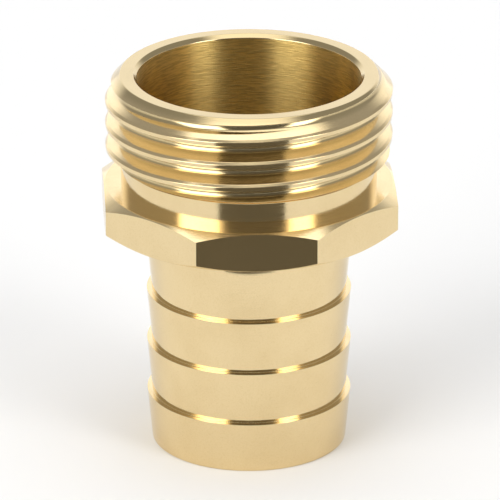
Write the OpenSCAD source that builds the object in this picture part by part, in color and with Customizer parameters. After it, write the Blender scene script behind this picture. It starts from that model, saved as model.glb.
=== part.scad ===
// Male hose connector, turned in one piece from octagon brass bar.
// It stands on the end of its barbed tail: the origin is the centre of that end,
// the axis is Z, and the threaded head is on top. Lengths are in millimetres.

/* [Thread] */
// Diameter over the crests of the male thread
thread_d = 26.99; // [25:0.01:30]
// Rise of the thread in one turn
thread_pitch = 2.209; // [2.05:0.001:2.5]
// Depth of the thread groove, across the radius
thread_depth = 1.27; // [0.9:0.01:1.4]
// Width of the flat that is left on a crest
crest_w = 0.45; // [0.15:0.01:0.5]
// Angle between the two flanks of the groove
thread_angle = 60; // [50:1:62]
// Turn of the thread about the axis, against the flats of the collar
thread_turn = -69; // [-180:1:180]

/* [Head] */
// Height of the head, from the top of the collar to the rim
head_h = 10.75; // [9.5:0.05:16]
// Slope of the lead-in chamfer below the rim
lead_angle = 45; // [40:1:50]
// How much narrower than the thread root the rim is, across the radius
rim_inset = 0.13; // [0:0.01:0.3]

/* [Neck] */
// How much narrower than the thread root the plain neck is, across the radius
neck_inset = 0.17; // [0.05:0.01:1]
// Height of the neck, from the collar up to the slope that ends the thread
neck_h = 2.4; // [1.9:0.05:2.8]
// Slope that ends the thread, measured from level
runout_angle = 30; // [20:1:45]
// Radius of the fillet where the neck meets the collar
neck_fillet = 0.15; // [0.1:0.05:0.5]

/* [Collar] */
// Width of the collar across two flats
collar_af = 27.4; // [26.5:0.1:34]
// Thickness of the collar
collar_h = 3.8; // [3:0.1:8]
// Slope of the chamfer that breaks the eight corners, top and bottom
corner_angle = 30; // [15:1:40]
// How far inside the flats the corner chamfer starts
corner_inset = 0.15; // [0:0.01:0.4]

/* [Tail] */
// Diameter over the barbs
barb_d = 19.4; // [19:0.1:21.5]
// Distance from one barb to the next
barb_pitch = 5.15; // [4.5:0.05:7]
// Number of shoulders along the tail
barb_count = 3; // [1:1:5]
// Height of a barb's shoulder, across the radius
barb_step = 0.48; // [0.2:0.01:0.6]
// Slope of a shoulder, measured from level
shoulder_angle = 4; // [0:1:60]
// Length of the last barb, from its shoulder to the tail end
tip_h = 4.96; // [3:0.01:8]
// Length of the straight land under the collar
land_h = 1.74; // [0:0.01:5]
// Edge break at the tail end
tip_break = 0.1; // [0.05:0.01:0.4]

/* [Bores] */
// Diameter of the wide bore in the head
mouth_d = 21; // [17:0.1:21.2]
// Depth of the wide bore, from the rim
mouth_depth = 8.3; // [4:0.1:8.5]
// Chamfer at the mouth of the wide bore
mouth_chamfer = 0.36; // [0.1:0.01:0.5]
// Diameter of the bore through the tail
tail_bore_d = 15.8; // [10:0.1:16.2]
// Chamfer at the tail end of the through bore
tail_chamfer = 0.3; // [0.1:0.01:0.5]
// Slope of the cone that joins the two bores, measured from level
cone_angle = 31; // [10:1:60]

/* [Hidden] */

// Fineness of the turned surfaces, facets of the helix in one turn, and steps of the fillet
turned_fn = 128;
helix_fn = 40;
fillet_steps = 10;
// How far a cutting shape reaches past the surface that it cuts
over = 1;
// How far the groove's first turn stays above the collar, and its last runs past the rim
groove_gap = 0.06;
groove_rest = 0.1;
// Flats of the bar
flats = 8;
brass = [0.85, 0.68, 0.36];

// Radii, from the diameters above
thread_r = thread_d / 2;
root_r = thread_r - thread_depth;
rim_r = root_r - rim_inset;
neck_r = root_r - neck_inset;
flat_r = collar_af / 2;
corner_r = flat_r / cos(180 / flats);
barb_r = barb_d / 2;
mouth_r = mouth_d / 2;
tail_bore_r = tail_bore_d / 2;

// Heights above the tail end
collar_z = tip_h + barb_count * barb_pitch + land_h;
neck_z = collar_z + collar_h;
rim_z = neck_z + head_h;
thread_z = neck_z + neck_h + (thread_r - neck_r) * tan(runout_angle);
lead_z = rim_z - (thread_r - rim_r) * tan(lead_angle);
mouth_z = rim_z - mouth_depth;
cone_z = mouth_z - (mouth_r - tail_bore_r) * tan(cone_angle);

// Profile of a barb: one taper from its crest down to the shoulder of the next, or to the tail end
shoulder_h = barb_step * tan(shoulder_angle);
taper = barb_step / (barb_pitch - shoulder_h);
tip_r = barb_r - tip_h * taper;
crest_zs = [for (i = [barb_count : -1 : 0]) tip_h + i * barb_pitch];

// Section of the thread groove: a trapezium, given from its middle, that opens past the crests
flank = tan(thread_angle / 2);
cut_r = thread_r + over / 2;
root_w = thread_pitch - crest_w - 2 * thread_depth * flank;
cut_w = root_w + 2 * (cut_r - root_r) * flank;
groove_section = [
    [root_r, -root_w / 2],
    [cut_r, -cut_w / 2],
    [cut_r, cut_w / 2],
    [root_r, root_w / 2]
];

// The groove starts in the open beside the neck and leaves through the rim
groove_z = neck_z + cut_w / 2 + groove_gap;
groove_turns = (rim_z + cut_w / 2 + groove_rest - groove_z) / thread_pitch;
groove_steps = ceil(groove_turns * helix_fn);

function arc(centre, r, from, to, steps) = [
    for (i = [0 : steps])
        let (a = from + (to - from) * i / steps)
            centre + r * [cos(a), sin(a)]
];

// Outline of the tail, from under the collar down to its end
function tail_outline() = concat(
    [[barb_r, collar_z + over / 2]],
    [for (z = crest_zs) each [
        [barb_r, z],
        if (z > tip_h) [barb_r - barb_step, z - barb_pitch + shoulder_h]
    ]],
    [[tip_r + tip_break * taper, tip_break], [tip_r - tip_break, 0], [0, 0], [0, collar_z + over / 2]]
);

// Outline of the neck and the head before the thread is cut
function head_outline() = concat(
    [[0, neck_z - over / 2], [neck_r + neck_fillet, neck_z - over / 2]],
    arc([neck_r + neck_fillet, neck_z + neck_fillet], neck_fillet, 270, 180, fillet_steps),
    [
        [neck_r, neck_z + neck_h],
        [thread_r, thread_z],
        [thread_r, lead_z],
        [rim_r, rim_z],
        [0, rim_z]
    ]
);

// One helix of the groove section, closed at both ends, rising to the right
module thread_groove() {
    sides = len(groove_section);
    points = [
        for (i = [0 : groove_steps])
            let (turn = thread_turn + i * 360 / helix_fn, z = groove_z + i * thread_pitch / helix_fn)
                for (p = groove_section) [p[0] * cos(turn), p[0] * sin(turn), z + p[1]]
    ];
    walls = [
        for (i = [0 : groove_steps - 1], j = [0 : sides - 1])
            let (a = i * sides + j, b = i * sides + (j + 1) % sides)
                each [[a, b, b + sides], [a, b + sides, a + sides]]
    ];
    last = groove_steps * sides;
    start_cap = [[0, 2, 1], [0, 3, 2]];
    end_cap = [[last, last + 1, last + 2], [last, last + 2, last + 3]];
    polyhedron(points = points, faces = concat(walls, start_cap, end_cap), convexity = 8);
}

module turned_tail() {
    rotate_extrude($fn = turned_fn) polygon(tail_outline());
}

module threaded_head() {
    difference() {
        rotate_extrude($fn = turned_fn) polygon(head_outline());
        thread_groove();
    }
}

// Octagon bar with its corners turned back to a cone above and below
module octagon_collar() {
    chamfer_r = flat_r - corner_inset;
    reach = corner_r + over / 4 - chamfer_r;
    drop = reach * tan(corner_angle);
    intersection() {
        translate([0, 0, collar_z]) rotate(180 / flats) cylinder(h = collar_h, r = corner_r, $fn = flats);
        rotate_extrude($fn = turned_fn) polygon([
            [0, collar_z],
            [chamfer_r, collar_z],
            [chamfer_r + reach, collar_z + drop],
            [chamfer_r + reach, neck_z - drop],
            [chamfer_r, neck_z],
            [0, neck_z]
        ]);
    }
}

// The wide bore of the head, its cone, the bore of the tail, and a chamfer at each end
module waterway() {
    translate([0, 0, mouth_z]) cylinder(h = mouth_depth + over, r = mouth_r, $fn = turned_fn);
    translate([0, 0, cone_z])
        cylinder(h = mouth_z - cone_z, r1 = tail_bore_r, r2 = mouth_r, $fn = turned_fn);
    translate([0, 0, -over]) cylinder(h = mouth_z + over, r = tail_bore_r, $fn = turned_fn);
    translate([0, 0, rim_z - mouth_chamfer])
        cylinder(h = 2 * mouth_chamfer, r1 = mouth_r, r2 = mouth_r + 2 * mouth_chamfer, $fn = turned_fn);
    translate([0, 0, -tail_chamfer]) cylinder(
        h = 2 * tail_chamfer, r1 = tail_bore_r + 2 * tail_chamfer, r2 = tail_bore_r, $fn = turned_fn
    );
}

module hose_connector() {
    color(brass)
        difference() {
            union() {
                turned_tail();
                octagon_collar();
                threaded_head();
            }
            waterway();
        }
}

hose_connector();
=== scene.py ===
import math

import bmesh
import bpy
from mathutils import Matrix, Vector


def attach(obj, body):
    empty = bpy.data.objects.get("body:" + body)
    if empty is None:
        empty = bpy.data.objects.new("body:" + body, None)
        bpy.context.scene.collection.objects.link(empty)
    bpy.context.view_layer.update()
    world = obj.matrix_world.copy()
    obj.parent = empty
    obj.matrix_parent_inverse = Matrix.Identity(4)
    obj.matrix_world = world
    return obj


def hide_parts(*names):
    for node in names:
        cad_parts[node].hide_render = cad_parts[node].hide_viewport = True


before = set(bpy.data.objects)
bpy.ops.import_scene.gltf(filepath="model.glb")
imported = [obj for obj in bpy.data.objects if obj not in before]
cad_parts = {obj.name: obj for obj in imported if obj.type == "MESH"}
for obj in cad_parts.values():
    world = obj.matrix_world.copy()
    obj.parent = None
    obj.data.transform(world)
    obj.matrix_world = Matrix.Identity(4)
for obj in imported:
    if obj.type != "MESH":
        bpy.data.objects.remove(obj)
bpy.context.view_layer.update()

print("frame loaded")


# Sizes of the connector in millimetres: the meshes are made at this size and brought to metres at the end
tail = {
    "barbRadius": 9.7, "barbPitch": 5.15, "barbStep": 0.48, "shoulderAngle": 4, "barbs": 3,
    "tipHeight": 4.96, "landHeight": 1.74, "tipBreak": 0.1,
    "crestRound": 0.035, "rootRound": 0.06, "landRound": 0.3, "collarRound": 0.12,
}
collar = {
    "acrossFlats": 27.4, "flats": 8, "height": 3.8, "cornerAngle": 30, "cornerInset": 0.15,
    "blankRadius": 15.2, "edgeRound": 0.1, "cornerReach": 0.3, "cornerLength": 0.1,
}
neck = {"radius": 12.055, "height": 2.4, "fillet": 0, "runoutAngle": 30, "topRound": 0.1}
head = {"height": 10.75, "rimRadius": 12.095, "rimRound": 0.06, "blankRadius": 14.2}
thread = {
    "radius": 13.495, "rootRadius": 12.225, "pitch": 2.209, "crestWidth": 0.45, "flankAngle": 30,
    "startTurn": -69, "startGap": 0.06, "openPast": 0.5,
    "envelopeLift": 0.2, "envelopeOver": 1, "drumScale": 1.5,
    "crestBreak": 0.2, "breakAngle": 49, "rootRound": 0.42, "edgeRound": 0.03,
}
bore = {
    "mouthRadius": 10.5, "mouthDepth": 8.3, "mouthChamfer": 0.36, "mouthRound": 0.06,
    "tailRadius": 7.9, "tailChamfer": 0.3, "coneAngle": 31, "coneRound": 0.3,
}
turning = {
    "steps": 288, "threadTurns": 7, "roundSteps": 3, "wideSteps": 6, "wideRound": 0.2,
    "fineRound": 0.04, "edgeRound": 0.05, "weld": 0.0005, "sharpAngle": 28,
}

collarZ = tail["tipHeight"] + tail["barbs"] * tail["barbPitch"] + tail["landHeight"]
neckZ = collarZ + collar["height"]
rimZ = neckZ + head["height"]
flatRadius = collar["acrossFlats"] / 2


def connectorOutline():
    # Radius, height and edge rounding of each corner of the turned section, up the outside and down the bore
    slope = math.tan(math.radians(collar["cornerAngle"]))
    chamferRadius = flatRadius - collar["cornerInset"]
    drop = (collar["blankRadius"] - chamferRadius) * slope
    shoulder = tail["barbStep"] * math.tan(math.radians(tail["shoulderAngle"]))
    taper = tail["barbStep"] / (tail["barbPitch"] - shoulder)
    tipRadius = tail["barbRadius"] - tail["tipHeight"] * taper
    runout = (head["blankRadius"] - neck["radius"]) * math.tan(math.radians(neck["runoutAngle"]))
    runoutZ = neckZ + neck["height"] + runout
    corners = [
        (bore["tailRadius"] + bore["tailChamfer"], 0, turning["fineRound"]),
        (tipRadius - tail["tipBreak"], 0, turning["edgeRound"]),
        (tipRadius, tail["tipBreak"], turning["edgeRound"]),
    ]
    for barb in range(tail["barbs"] + 1):
        crestZ = tail["tipHeight"] + barb * tail["barbPitch"]
        if barb:
            corners.append((tail["barbRadius"] - tail["barbStep"],
                            crestZ - tail["barbPitch"] + shoulder, tail["rootRound"]))
        rounding = tail["crestRound"] if barb < tail["barbs"] else tail["landRound"]
        corners.append((tail["barbRadius"], crestZ, rounding))
    corners += [
        (tail["barbRadius"], collarZ, tail["collarRound"]),
        (chamferRadius, collarZ, turning["edgeRound"]),
        (collar["blankRadius"], collarZ + drop, 0),
        (collar["blankRadius"], neckZ - drop, 0),
        (chamferRadius, neckZ, turning["edgeRound"]),
        (neck["radius"], neckZ, neck["fillet"]),
        (neck["radius"], neckZ + neck["height"], neck["topRound"]),
        (head["blankRadius"], runoutZ, 0),
        (head["blankRadius"], rimZ + head["rimRadius"] - head["blankRadius"], 0),
        (head["rimRadius"], rimZ, head["rimRound"]),
        (bore["mouthRadius"] + bore["mouthChamfer"], rimZ, turning["fineRound"]),
        (bore["mouthRadius"], rimZ - bore["mouthChamfer"], bore["mouthRound"]),
    ]
    coneTop = rimZ - bore["mouthDepth"]
    coneEnd = coneTop - (bore["mouthRadius"] - bore["tailRadius"]) * math.tan(math.radians(bore["coneAngle"]))
    corners += [
        (bore["mouthRadius"], coneTop, bore["coneRound"]),
        (bore["tailRadius"], coneEnd, bore["coneRound"]),
        (bore["tailRadius"], bore["tailChamfer"], turning["fineRound"]),
    ]
    return corners


def drawWire(mesh, corners, closed):
    # One wire through the corners, each corner then rounded by a vertex bevel
    verts = [mesh.verts.new((r, 0, z)) for r, z, _ in corners]
    for a, b in zip(verts, verts[1:]):
        mesh.edges.new((a, b))
    if closed:
        mesh.edges.new((verts[-1], verts[0]))
    for vert, corner in zip(verts, corners):
        if corner[2]:
            steps = turning["wideSteps"] if corner[2] > turning["wideRound"] else turning["roundSteps"]
            bmesh.ops.bevel(mesh, geom=[vert], offset=corner[2], offset_type="OFFSET", segments=steps,
                            profile=0.5, affect="VERTICES", material=-1)


def turnRound(mesh, sectors, rise=0.0):
    # Spins the wires through one sector, then sets copies of it round the axis; rise is the climb in a turn
    stepsEach = turning["steps"] // sectors
    bmesh.ops.spin(mesh, geom=mesh.verts[:] + mesh.edges[:], cent=(0, 0, 0), axis=(0, 0, 1),
                   dvec=(0, 0, rise / turning["steps"]), angle=math.tau / sectors, steps=stepsEach,
                   use_merge=False)
    sector = mesh.verts[:] + mesh.edges[:] + mesh.faces[:]
    for k in range(1, sectors):
        copy = bmesh.ops.duplicate(mesh, geom=sector)["geom"]
        verts = [v for v in copy if isinstance(v, bmesh.types.BMVert)]
        bmesh.ops.rotate(mesh, verts=verts, cent=(0, 0, 0),
                         matrix=Matrix.Rotation(math.tau * k / sectors, 3, "Z"))
        bmesh.ops.translate(mesh, verts=verts, vec=(0, 0, rise * k / sectors))
    bmesh.ops.remove_doubles(mesh, verts=mesh.verts, dist=turning["weld"])


def turnedBlank():
    mesh = bmesh.new()
    drawWire(mesh, connectorOutline(), True)
    turnRound(mesh, collar["flats"])
    bmesh.ops.recalc_face_normals(mesh, faces=mesh.faces)
    return mesh


def cutOff(mesh, plane, normal):
    # Cuts the mesh at a plane, drops what lies outside it and gives the edges of the opening
    cut = bmesh.ops.bisect_plane(mesh, geom=mesh.verts[:] + mesh.edges[:] + mesh.faces[:], dist=0.00001,
                                 plane_co=plane, plane_no=normal, clear_outer=True)
    return [e for e in cut["geom_cut"] if isinstance(e, bmesh.types.BMEdge)]


def threadEnvelope():
    # A rod with the thread on its upper part and a wide drum below it, that the blank is trimmed to
    flank = math.tan(math.radians(thread["flankAngle"]))
    depth = thread["radius"] - thread["rootRadius"]
    halfRoot = (thread["pitch"] - thread["crestWidth"]) / 2 - depth * flank
    halfGroove = (thread["pitch"] - thread["crestWidth"]) / 2
    # The upper edge of a crest is broken by a narrow bevel that meets the flank below it
    breakTop = thread["crestBreak"] * flank - halfGroove
    crestTop = breakTop - thread["crestBreak"] * math.tan(math.radians(thread["breakAngle"]))
    halfCut = halfRoot + (depth + thread["openPast"]) * flank
    startZ = neckZ + halfCut + thread["startGap"] - thread["pitch"]
    section = [
        (thread["radius"], halfGroove - thread["pitch"], 0),
        (thread["radius"], crestTop, thread["edgeRound"]),
        (thread["radius"] - thread["crestBreak"], breakTop, thread["edgeRound"]),
        (thread["rootRadius"], -halfRoot, thread["rootRound"]),
        (thread["rootRadius"], halfRoot, thread["edgeRound"]),
        (thread["radius"], halfGroove, 0),
    ]
    mesh = bmesh.new()
    drawWire(mesh, section, False)
    bmesh.ops.translate(mesh, verts=mesh.verts, vec=(0, 0, startZ))
    bmesh.ops.rotate(mesh, verts=mesh.verts, cent=(0, 0, 0),
                     matrix=Matrix.Rotation(math.radians(thread["startTurn"]), 3, "Z"))
    turnRound(mesh, collar["flats"], thread["pitch"])
    oneTurn = mesh.verts[:] + mesh.edges[:] + mesh.faces[:]
    for turn in range(1, turning["threadTurns"]):
        copy = bmesh.ops.duplicate(mesh, geom=oneTurn)["geom"]
        bmesh.ops.translate(mesh, verts=[v for v in copy if isinstance(v, bmesh.types.BMVert)],
                            vec=(0, 0, turn * thread["pitch"]))
    bmesh.ops.remove_doubles(mesh, verts=mesh.verts, dist=turning["weld"])
    lowCut = neckZ + neck["height"] + thread["envelopeLift"]
    highCut = rimZ + thread["envelopeOver"]
    low = cutOff(mesh, (0, 0, lowCut), (0, 0, -1))
    out = bmesh.ops.extrude_edge_only(mesh, edges=low)
    ring = [v for v in out["geom"] if isinstance(v, bmesh.types.BMVert)]
    bmesh.ops.scale(mesh, verts=ring, vec=(thread["drumScale"], thread["drumScale"], 1))
    edges = [e for e in out["geom"] if isinstance(e, bmesh.types.BMEdge) and e.is_boundary]
    out = bmesh.ops.extrude_edge_only(mesh, edges=edges)
    ring = [v for v in out["geom"] if isinstance(v, bmesh.types.BMVert)]
    bmesh.ops.translate(mesh, verts=ring, vec=(0, 0, -lowCut - thread["envelopeOver"]))
    edges = [e for e in out["geom"] if isinstance(e, bmesh.types.BMEdge) and e.is_boundary]
    bmesh.ops.edgeloop_fill(mesh, edges=edges)
    high = cutOff(mesh, (0, 0, highCut), (0, 0, 1))
    bmesh.ops.edgeloop_fill(mesh, edges=high)
    bmesh.ops.recalc_face_normals(mesh, faces=mesh.faces)
    return mesh


def toObject(name, mesh):
    data = bpy.data.meshes.new(name)
    mesh.to_mesh(data)
    mesh.free()
    piece = bpy.data.objects.new(name, data)
    bpy.context.scene.collection.objects.link(piece)
    return piece


def applyModifiers(piece):
    depsgraph = bpy.context.evaluated_depsgraph_get()
    data = bpy.data.meshes.new_from_object(piece.evaluated_get(depsgraph))
    piece.modifiers.clear()
    piece.data = data


def trimTo(piece, tool):
    # The part of the piece inside the tool; the tool is dropped afterwards
    trim = piece.modifiers.new("trim", "BOOLEAN")
    trim.operation = "INTERSECT"
    trim.solver = "MANIFOLD"
    trim.object = tool
    applyModifiers(piece)
    bpy.data.objects.remove(tool)


def cutFlats(mesh):
    # Planes the round collar to its flats; nothing else reaches that far out
    for side in range(collar["flats"]):
        turn = math.tau * side / collar["flats"]
        normal = Vector((math.cos(turn), math.sin(turn), 0))
        edges = cutOff(mesh, normal * flatRadius, normal)
        bmesh.ops.edgeloop_fill(mesh, edges=edges)


def breakCorners(mesh):
    # Rounds the eight upright edges of the collar
    corners = []
    for edge in mesh.edges:
        low, high = edge.verts[0].co, edge.verts[1].co
        slant = math.hypot(low.x - high.x, low.y - high.y)
        upright = slant < turning["weld"] and abs(low.z - high.z) > collar["cornerLength"]
        if upright and math.hypot(low.x, low.y) > flatRadius + collar["cornerReach"]:
            corners.append(edge)
    print("collar corners", len(corners))
    bmesh.ops.bevel(mesh, geom=corners, offset=collar["edgeRound"], offset_type="OFFSET", segments=3,
                    profile=0.5, affect="EDGES", clamp_overlap=True, material=-1)


def buildConnector():
    blank = toObject("connectorBody", turnedBlank())
    envelope = toObject("threadEnvelope", threadEnvelope())
    print("blank", len(blank.data.polygons), "envelope", len(envelope.data.polygons))
    trimTo(blank, envelope)
    mesh = bmesh.new()
    mesh.from_mesh(blank.data)
    bmesh.ops.remove_doubles(mesh, verts=mesh.verts, dist=turning["weld"])
    cutFlats(mesh)
    bmesh.ops.recalc_face_normals(mesh, faces=mesh.faces)
    breakCorners(mesh)
    openEdges = [e for e in mesh.edges if not e.is_manifold]
    print("after the flats", len(mesh.faces), "faces,", len(openEdges), "open edges")
    bmesh.ops.recalc_face_normals(mesh, faces=mesh.faces)
    mesh.to_mesh(blank.data)
    mesh.free()
    for face in blank.data.polygons:
        face.use_smooth = True
    blank.data.set_sharp_from_angle(angle=math.radians(turning["sharpAngle"]))
    # The wide faces set the normals, so that a cone or a flat stays true up to its rounded edge
    weight = blank.modifiers.new("weight", "WEIGHTED_NORMAL")
    weight.mode = "FACE_AREA"
    weight.weight = 100
    weight.thresh = 0.01
    weight.keep_sharp = True
    applyModifiers(blank)
    blank.data.transform(Matrix.Scale(0.001, 4))
    return blank


connector = buildConnector()
print("connector modelled")


def addMath(tree, kind, first, second=0.0):
    # One Math node; each input is a number or another node's output
    node = tree.nodes.new("ShaderNodeMath")
    node.operation = kind
    for socket, value in zip(node.inputs, (first, second)):
        if isinstance(value, (int, float)):
            socket.default_value = value
        else:
            tree.links.new(value, socket)
    return node.outputs[0]


def addRamp(tree, value, start, end, low, high):
    # A smooth step from low to high as the value goes from start to end
    node = tree.nodes.new("ShaderNodeMapRange")
    node.interpolation_type = "SMOOTHSTEP"
    tree.links.new(value, node.inputs["Value"])
    for name, number in (("From Min", start), ("From Max", end), ("To Min", low), ("To Max", high)):
        node.inputs[name].default_value = number
    return node.outputs[0]


def addLinear(tree, value, start, end, low, high):
    # From low to high in a straight line as the value goes from start to end, and level outside that
    node = tree.nodes.new("ShaderNodeMapRange")
    tree.links.new(value, node.inputs["Value"])
    for name, number in (("From Min", start), ("From Max", end), ("To Min", low), ("To Max", high)):
        node.inputs[name].default_value = number
    return node.outputs[0]


def addWindow(tree, value, low, high, soft):
    # One between low and high, falling to nothing over soft at each end
    rise = addRamp(tree, value, low - soft / 2, low + soft / 2, 0, 1)
    fall = addRamp(tree, value, high - soft / 2, high + soft / 2, 1, 0)
    return addMath(tree, "MULTIPLY", rise, fall)


def addBearing(tree, vector):
    # Degrees round from the front, to the right as the camera sees it, and the vector's three parts
    turned = tree.nodes.new("ShaderNodeVectorRotate")
    turned.rotation_type = "Z_AXIS"
    turned.inputs["Angle"].default_value = math.radians(-shot["turn"])
    tree.links.new(vector, turned.inputs["Vector"])
    parts = tree.nodes.new("ShaderNodeSeparateXYZ")
    tree.links.new(turned.outputs[0], parts.inputs[0])
    back = addMath(tree, "MULTIPLY", parts.outputs["Y"], -1.0)
    angle = addMath(tree, "ARCTAN2", parts.outputs["X"], back)
    return addMath(tree, "DEGREES", angle), parts.outputs


# Colour and finish of the brass; feature sizes are given as repeats in a metre
brass = {
    "colour": (0.83, 0.66, 0.38), "dull": (0.64, 0.46, 0.21), "roughness": 0.12,
    "lines": 9000, "lineRuns": 5, "lineDepth": 0.000002,
    "grain": 7000, "grainDepth": 0.0000012, "grainShade": 0.22, "clouds": 260, "cloudShade": 0.25,
    # The root colour is painted shade, laid into the thread roots where the grooves fall into shade
    "rootShadowColour": (0.58, 0.46, 0.25), "rootShade": 0.9, "rootShadowReach": 0.0007, "rootShadowStart": 0.4,
}
boreFinish = {
    "colour": (0.8, 0.58, 0.205), "dark": (0.48, 0.335, 0.11), "roughness": 0.38,
    "lines": 7500, "lineRuns": 9, "lineDepth": 0.00004, "grooved": 0.95, "paintedDeepShade": 0.3,
}


def addNoise(tree, vector, scale, detail, w=None):
    node = tree.nodes.new("ShaderNodeTexNoise")
    node.inputs["Scale"].default_value = scale
    node.inputs["Detail"].default_value = detail
    tree.links.new(vector, node.inputs["Vector"])
    if w is not None:
        node.noise_dimensions = "4D"
        tree.links.new(w, node.inputs["W"])
    return node.outputs["Fac"]


def addTurning(tree, repeats, runs):
    # The place, its radius and height, and noise drawn out round the axis as a cutting tool leaves it
    coords = tree.nodes.new("ShaderNodeTexCoord")
    parts = tree.nodes.new("ShaderNodeSeparateXYZ")
    tree.links.new(coords.outputs["Object"], parts.inputs[0])
    flat = tree.nodes.new("ShaderNodeCombineXYZ")
    tree.links.new(parts.outputs["X"], flat.inputs["X"])
    tree.links.new(parts.outputs["Y"], flat.inputs["Y"])
    length = tree.nodes.new("ShaderNodeVectorMath")
    length.operation = "LENGTH"
    tree.links.new(flat.outputs[0], length.inputs[0])
    radius = length.outputs["Value"]
    around = tree.nodes.new("ShaderNodeCombineXYZ")
    for name in ("X", "Y"):
        part = addMath(tree, "DIVIDE", parts.outputs[name], radius)
        tree.links.new(addMath(tree, "MULTIPLY", part, runs), around.inputs[name])
    tree.links.new(addMath(tree, "MULTIPLY", parts.outputs["Z"], repeats), around.inputs["Z"])
    lines = addNoise(tree, around.outputs[0], 1, 3, addMath(tree, "MULTIPLY", radius, repeats))
    return coords.outputs["Object"], radius, parts.outputs["Z"], lines


def addMix(tree, share, first, second):
    # Two colours mixed; each is a plain colour or another node's output
    node = tree.nodes.new("ShaderNodeMix")
    node.data_type = "RGBA"
    tree.links.new(share, node.inputs["Factor"])
    for socket, value in ((node.inputs[6], first), (node.inputs[7], second)):
        if isinstance(value, tuple):
            socket.default_value = (*value, 1)
        else:
            tree.links.new(value, socket)
    return node.outputs[2]


def addBump(tree, height, depth, under=None):
    node = tree.nodes.new("ShaderNodeBump")
    node.inputs["Distance"].default_value = depth
    tree.links.new(height, node.inputs["Height"])
    if under is not None:
        tree.links.new(under, node.inputs["Normal"])
    return node.outputs[0]


def brassMaterial():
    # Bright turned brass: fine tool lines, a little grain, cloudy handling marks, and painted shade that
    # darkens the thread roots
    paint = bpy.data.materials.new("turnedBrass")
    paint.use_nodes = True
    tree = paint.node_tree
    shader = tree.nodes["Principled BSDF"]
    shader.inputs["Metallic"].default_value = 1
    place, radius, height, lines = addTurning(tree, brass["lines"], brass["lineRuns"])
    grain = addNoise(tree, place, brass["grain"], 2)
    clouds = addNoise(tree, place, brass["clouds"], 4)
    # Painted shade: the thread roots get a darker colour, from the root radius a little way out and from just
    # above the neck upward
    rootRadius = thread["rootRadius"] / 1000
    inRootShadow = addRamp(tree, radius, rootRadius, rootRadius + brass["rootShadowReach"], 1, 0)
    neckTop = neckZ + neck["height"]
    inThread = addRamp(tree, height, neckTop / 1000, (neckTop + brass["rootShadowStart"]) / 1000, 0, 1)
    rootShadowShare = addMath(tree, "MULTIPLY", addMath(tree, "MULTIPLY", inRootShadow, inThread), brass["rootShade"])
    shade = addLinear(tree, clouds, 0.4, 0.8, 0, brass["cloudShade"])
    shade = addMath(tree, "ADD", shade, addLinear(tree, grain, 0.45, 0.75, 0, brass["grainShade"]))
    worn = addMix(tree, shade, brass["colour"], brass["dull"])
    tree.links.new(addMix(tree, rootShadowShare, worn, brass["rootShadowColour"]), shader.inputs["Base Color"])
    rough = addMath(tree, "ADD", brass["roughness"], addLinear(tree, clouds, 0.4, 0.7, -0.02, 0.05))
    rough = addMath(tree, "ADD", rough, addLinear(tree, lines, 0.3, 0.7, -0.03, 0.04))
    tree.links.new(rough, shader.inputs["Roughness"])
    bump = addBump(tree, lines, brass["lineDepth"])
    tree.links.new(addBump(tree, grain, brass["grainDepth"], bump), shader.inputs["Normal"])
    return paint


def boreMaterial():
    # The bored walls: coarse chatter lines of the boring tool, and painted shade that darkens the walls
    # deeper down the bore
    paint = bpy.data.materials.new("boredBrass")
    paint.use_nodes = True
    tree = paint.node_tree
    shader = tree.nodes["Principled BSDF"]
    shader.inputs["Metallic"].default_value = 1
    shader.inputs["Anisotropic"].default_value = boreFinish["grooved"]
    shader.inputs["Anisotropic Rotation"].default_value = 0.25
    upright = tree.nodes.new("ShaderNodeTangent")
    upright.direction_type = "RADIAL"
    upright.axis = "Z"
    tree.links.new(upright.outputs[0], shader.inputs["Tangent"])
    _, _, height, lines = addTurning(tree, boreFinish["lines"], boreFinish["lineRuns"])
    shade = addLinear(tree, lines, 0.42, 0.6, 0.1, 0.75)
    # Painted shade: the wall colour grows darker deeper down the bore, where less light reaches
    paintedDepthShade = addLinear(tree, height, (rimZ - head["height"]) / 1000, rimZ / 1000, boreFinish["paintedDeepShade"], 0)
    shade = addMath(tree, "ADD", shade, paintedDepthShade)
    tree.links.new(addMix(tree, shade, boreFinish["colour"], boreFinish["dark"]), shader.inputs["Base Color"])
    rough = addLinear(tree, lines, 0.3, 0.7, boreFinish["roughness"] - 0.06, boreFinish["roughness"] + 0.08)
    tree.links.new(rough, shader.inputs["Roughness"])
    tree.links.new(addBump(tree, lines, boreFinish["lineDepth"]), shader.inputs["Normal"])
    return paint


connector.data.materials.clear()
connector.data.materials.append(brassMaterial())
connector.data.materials.append(boreMaterial())
for face in connector.data.polygons:
    # The walls of the bore, between its two chamfers, are the faces that look at the axis
    x, y, z = face.center * 1000
    inward = x * face.normal.x + y * face.normal.y < 0
    face.material_index = int(inward and math.hypot(x, y) < bore["mouthRadius"] and z > bore["tailChamfer"])
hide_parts("hose_connector")
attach(connector, "root")
print("brass finished")


shot = {
    "tilt": 22.098, "turn": -3.093, "lens": 432.07, "place": (-0.02831, -0.52582, 0.23263),
    "sensor": 36, "nearest": 0.01, "furthest": 20,
}

# A plain studio of white light. Each box covers those before it: its bearings and heights in degrees, then
# the softness of its edges and its brightness. The backdrop crosses the seam behind, so it has two entries.
studio = {
    "surroundings": 0.4,
    "lowWall": (-400, 400, -90, 15, 12, 0.9),
    "backdropRight": (145, 215, -90, 30, 20, 1.4),
    "backdropLeft": (-215, -145, -90, 30, 20, 1.4),
    "leftBox": (-65, -25, -90, 50, 10, 4),
    "rightBox": (35, 60, -90, 50, 10, 4),
    "darkRoom": (-25, 35, -90, 55, 10, 0.15),
    "topBox": (-400, 400, 62, 120, 8, 1.8),
}
# The floor, and a dark card that lies on it in front, outside the picture. Bearings are in degrees, and
# distances in metres.
floorSet = {"size": 3.0, "colour": (0.9, 0.9, 0.9), "roughness": 0.8}
frontCard = {
    "left": -25, "right": 30, "near": 0.046, "far": 0.6, "lift": 0.0002, "colour": (0.12, 0.11, 0.09),
}


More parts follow.
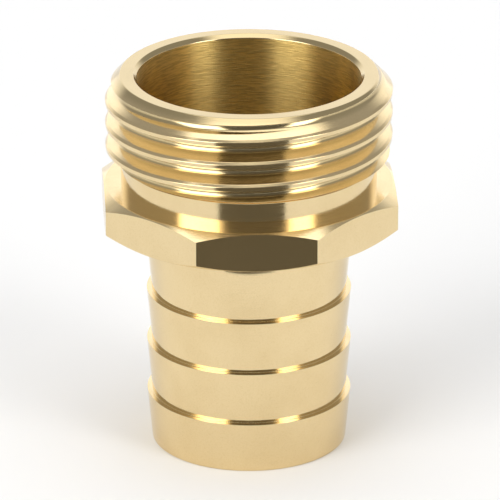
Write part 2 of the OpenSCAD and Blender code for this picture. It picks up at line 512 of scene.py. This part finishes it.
def buildWorld():
    world = bpy.data.worlds.new("studio")
    world.use_nodes = True
    tree = world.node_tree
    coords = tree.nodes.new("ShaderNodeTexCoord")
    bearing, parts = addBearing(tree, coords.outputs["Generated"])
    height = addMath(tree, "DEGREES", addMath(tree, "ARCSINE", parts["Z"]))
    light = studio["surroundings"]
    for name in ("lowWall", "backdropRight", "backdropLeft", "leftBox", "rightBox", "darkRoom", "topBox"):
        left, right, low, high, soft, bright = studio[name]
        mask = addMath(tree, "MULTIPLY", addWindow(tree, bearing, left, right, soft),
                       addWindow(tree, height, low, high, soft))
        gap = addMath(tree, "SUBTRACT", bright, light)
        light = addMath(tree, "ADD", light, addMath(tree, "MULTIPLY", mask, gap))
    tree.links.new(light, tree.nodes["Background"].inputs["Color"])
    bpy.context.scene.world = world


def matteMaterial(name, colour, roughness):
    paint = bpy.data.materials.new(name)
    paint.use_nodes = True
    shader = paint.node_tree.nodes["Principled BSDF"]
    shader.inputs["Base Color"].default_value = (*colour, 1)
    shader.inputs["Roughness"].default_value = roughness
    shader.inputs["Specular IOR Level"].default_value = 0.0
    return paint


def buildFloor():
    mesh = bmesh.new()
    bmesh.ops.create_grid(mesh, x_segments=1, y_segments=1, size=floorSet["size"])
    floor = toObject("floor", mesh)
    floor.data.materials.append(matteMaterial("paleFloor", floorSet["colour"], floorSet["roughness"]))


def buildFrontCard():
    # A photographer's dark card, spread out from the object towards the camera
    mesh = bmesh.new()
    bmesh.ops.create_grid(mesh, x_segments=1, y_segments=1, size=1)
    for vert in mesh.verts:
        side = frontCard["left"] if vert.co.x < 0 else frontCard["right"]
        reach = frontCard["far"] if vert.co.y < 0 else frontCard["near"]
        vert.co = (reach * math.tan(math.radians(side)), -reach, frontCard["lift"])
    bmesh.ops.rotate(mesh, verts=mesh.verts, cent=(0, 0, 0),
                     matrix=Matrix.Rotation(math.radians(shot["turn"]), 3, "Z"))
    card = toObject("frontCard", mesh)
    card.data.materials.append(matteMaterial("darkCard", frontCard["colour"], floorSet["roughness"]))
    card.visible_camera = False
    card.visible_diffuse = False
    card.visible_shadow = False


buildWorld()
buildFloor()
buildFrontCard()
print("studio set")

camera = bpy.data.cameras.new("camera")
camera.sensor_width = shot["sensor"]
camera.lens = shot["lens"]
camera.clip_start = shot["nearest"]
camera.clip_end = shot["furthest"]
view = bpy.data.objects.new("camera", camera)
view.location = shot["place"]
view.rotation_euler = (math.radians(90 - shot["tilt"]), 0, math.radians(shot["turn"]))
bpy.context.scene.collection.objects.link(view)
bpy.context.scene.camera = view
bpy.context.scene.view_settings.view_transform = "Standard"
